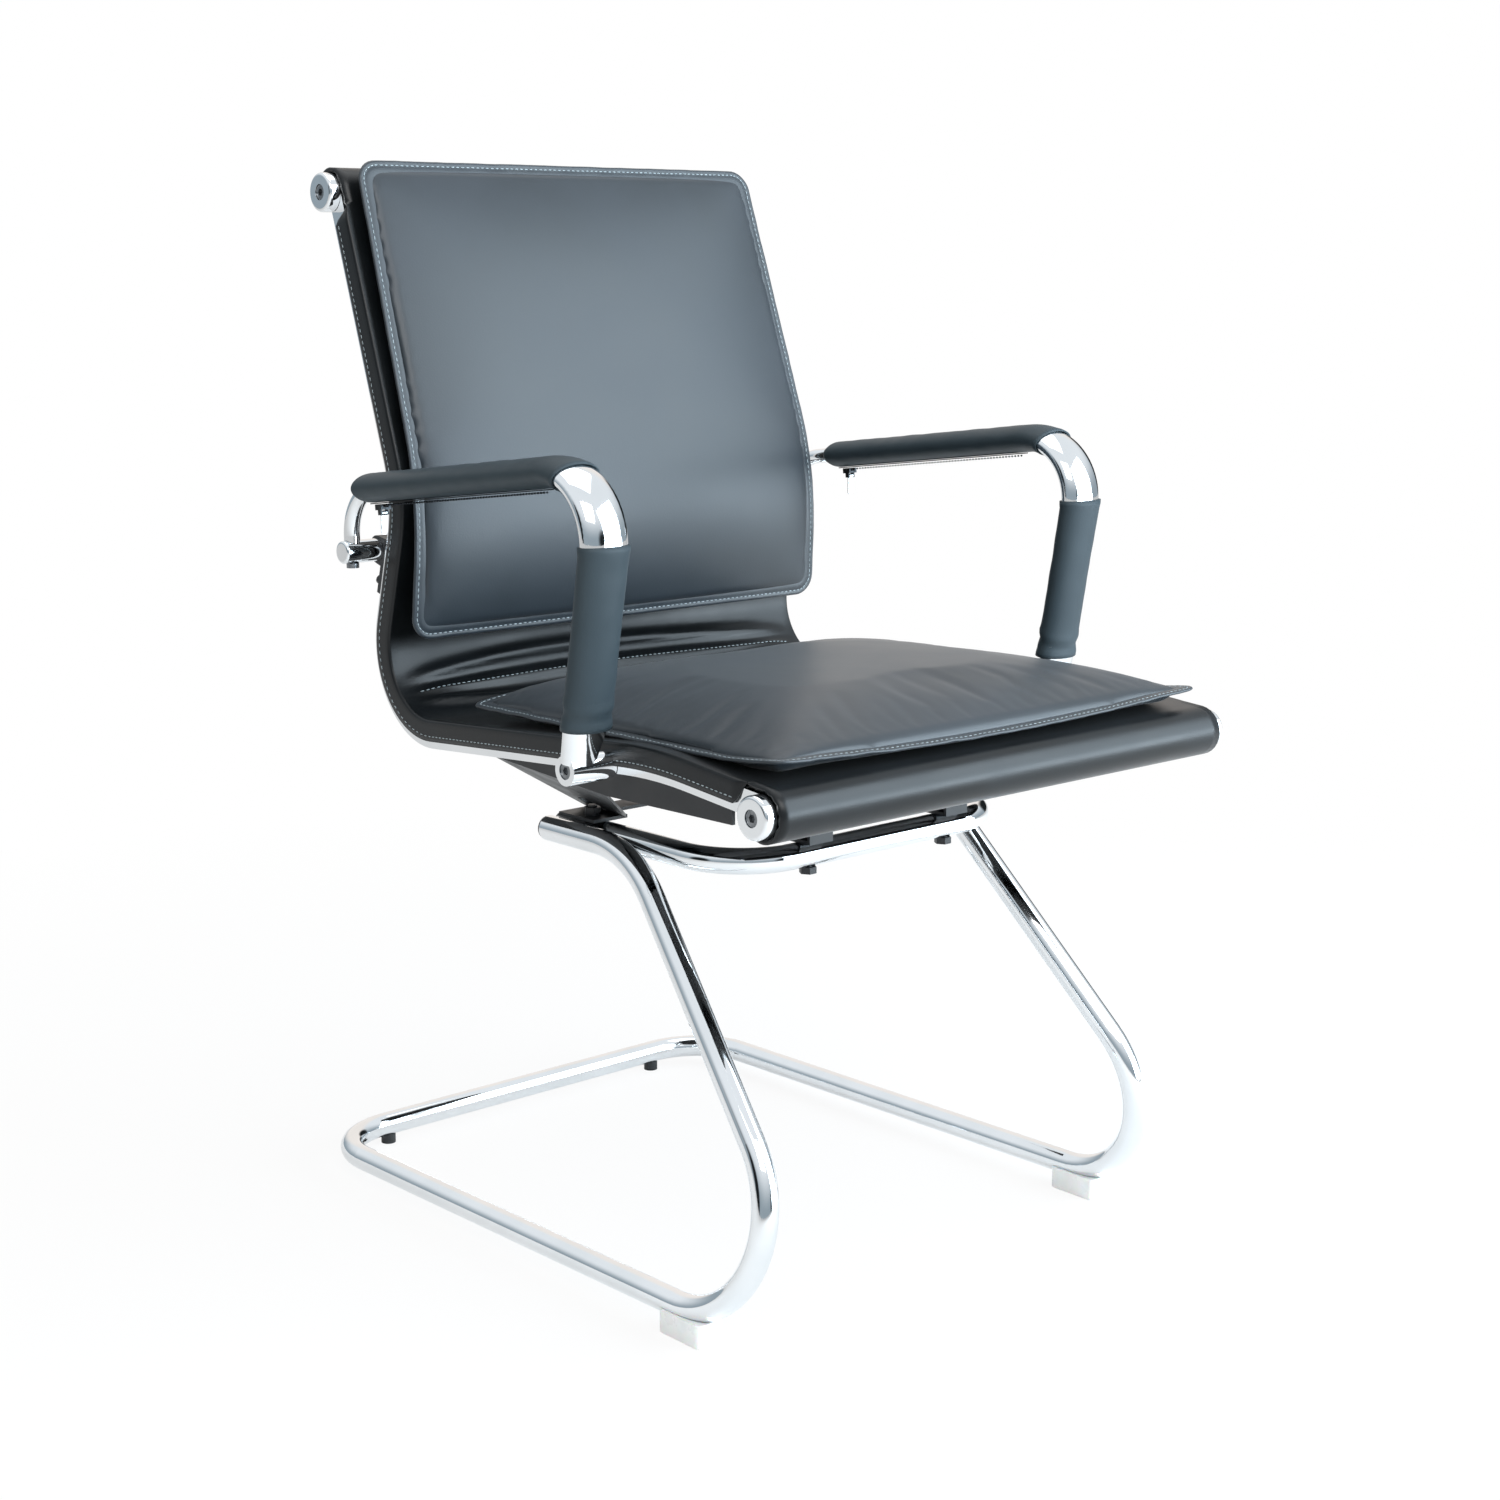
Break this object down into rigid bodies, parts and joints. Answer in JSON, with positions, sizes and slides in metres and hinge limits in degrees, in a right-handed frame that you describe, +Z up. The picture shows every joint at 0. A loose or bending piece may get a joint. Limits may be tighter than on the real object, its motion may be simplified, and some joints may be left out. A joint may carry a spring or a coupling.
{
  "type": "visitor chair",
  "caption": "Cantilever sled visitor chair with padded leatherette sling seat and back, chrome tube frame and looped arms with zipped covers.",
  "frame": {"origin": "on the floor under the middle of the chair's bounding box", "axes": "+Z up, -Y the way the sitter faces, +X to the sitter's left"},
  "size_m": [0.5956, 0.6726, 0.9287],
  "materials": {
    "chrome": "polished chrome plate",
    "black_plastic": "moulded black plastic",
    "clear_plastic": "milky translucent moulded plastic",
    "black_steel": "black powder coat",
    "screw_steel": "dull zinc plated screw",
    "leatherette": "blue-black leatherette with a soft sheen",
    "zip_tape": "black woven zip tape",
    "zip_metal": "blackened zip metal"
  },
  "bodies": {
    "chair": {"sled_frame": "chrome", "seat_support_hoop": "chrome", "leg_end_plugs": "black_plastic", "hoop_end_plugs": "black_plastic", "front_glide_left": "clear_plastic", "front_glide_right": "clear_plastic", "rear_feet": "black_plastic", "side_rail_left": "chrome", "side_rail_right": "chrome", "front_cross_tube": "chrome", "top_cross_tube": "chrome", "front_end_cap_left": "chrome", "front_end_cap_right": "chrome", "top_end_cap_left": "chrome", "top_end_cap_right": "chrome", "end_cap_screws": "screw_steel", "seat_bracket": "black_steel", "bracket_bolts": "black_steel", "bracket_nuts": "black_steel", "bracket_rail_screws": "black_steel", "back_brace": "chrome", "brace_end_cap_left": "chrome", "brace_end_cap_right": "chrome", "brace_bracket_left": "black_steel", "brace_bracket_right": "black_steel", "brace_screws": "black_steel", "sling": "leatherette", "seat_pad": "leatherette", "back_pad": "leatherette", "arm_tube_left": "chrome", "arm_tube_right": "chrome", "arm_foot_screws": "screw_steel", "arm_link_screws": "screw_steel", "arm_sleeve_left": "leatherette", "arm_sleeve_right": "leatherette", "post_sleeve_left": "leatherette", "post_sleeve_right": "leatherette", "sleeve_zip_left": "zip_tape", "sleeve_zip_right": "zip_tape"},
    "zip_slider_left": {"zip_slider_left": "zip_metal"},
    "zip_pull_left": {"zip_pull_left": "zip_metal"},
    "zip_slider_right": {"zip_slider_right": "zip_metal"},
    "zip_pull_right": {"zip_pull_right": "zip_metal"}
  },
  "joints": [
    {"name": "zip_slide_left", "type": "slide", "parent": "chair", "child": "zip_slider_left", "axis": [0, -0.9933, 0.1155], "range_m": [0, 0.22]},
    {"name": "zip_pull_hinge_left", "type": "hinge", "parent": "zip_slider_left", "child": "zip_pull_left", "pos_m": [0.27398, 0.13949, 0.63492], "axis": [1, 0, 0], "range_deg": [-80, 80]},
    {"name": "zip_slide_right", "type": "slide", "parent": "chair", "child": "zip_slider_right", "axis": [0, -0.9933, 0.1155], "range_m": [0, 0.22]},
    {"name": "zip_pull_hinge_right", "type": "hinge", "parent": "zip_slider_right", "child": "zip_pull_right", "pos_m": [-0.27398, 0.13949, 0.63492], "axis": [1, 0, 0], "range_deg": [-80, 80]}
  ]
}
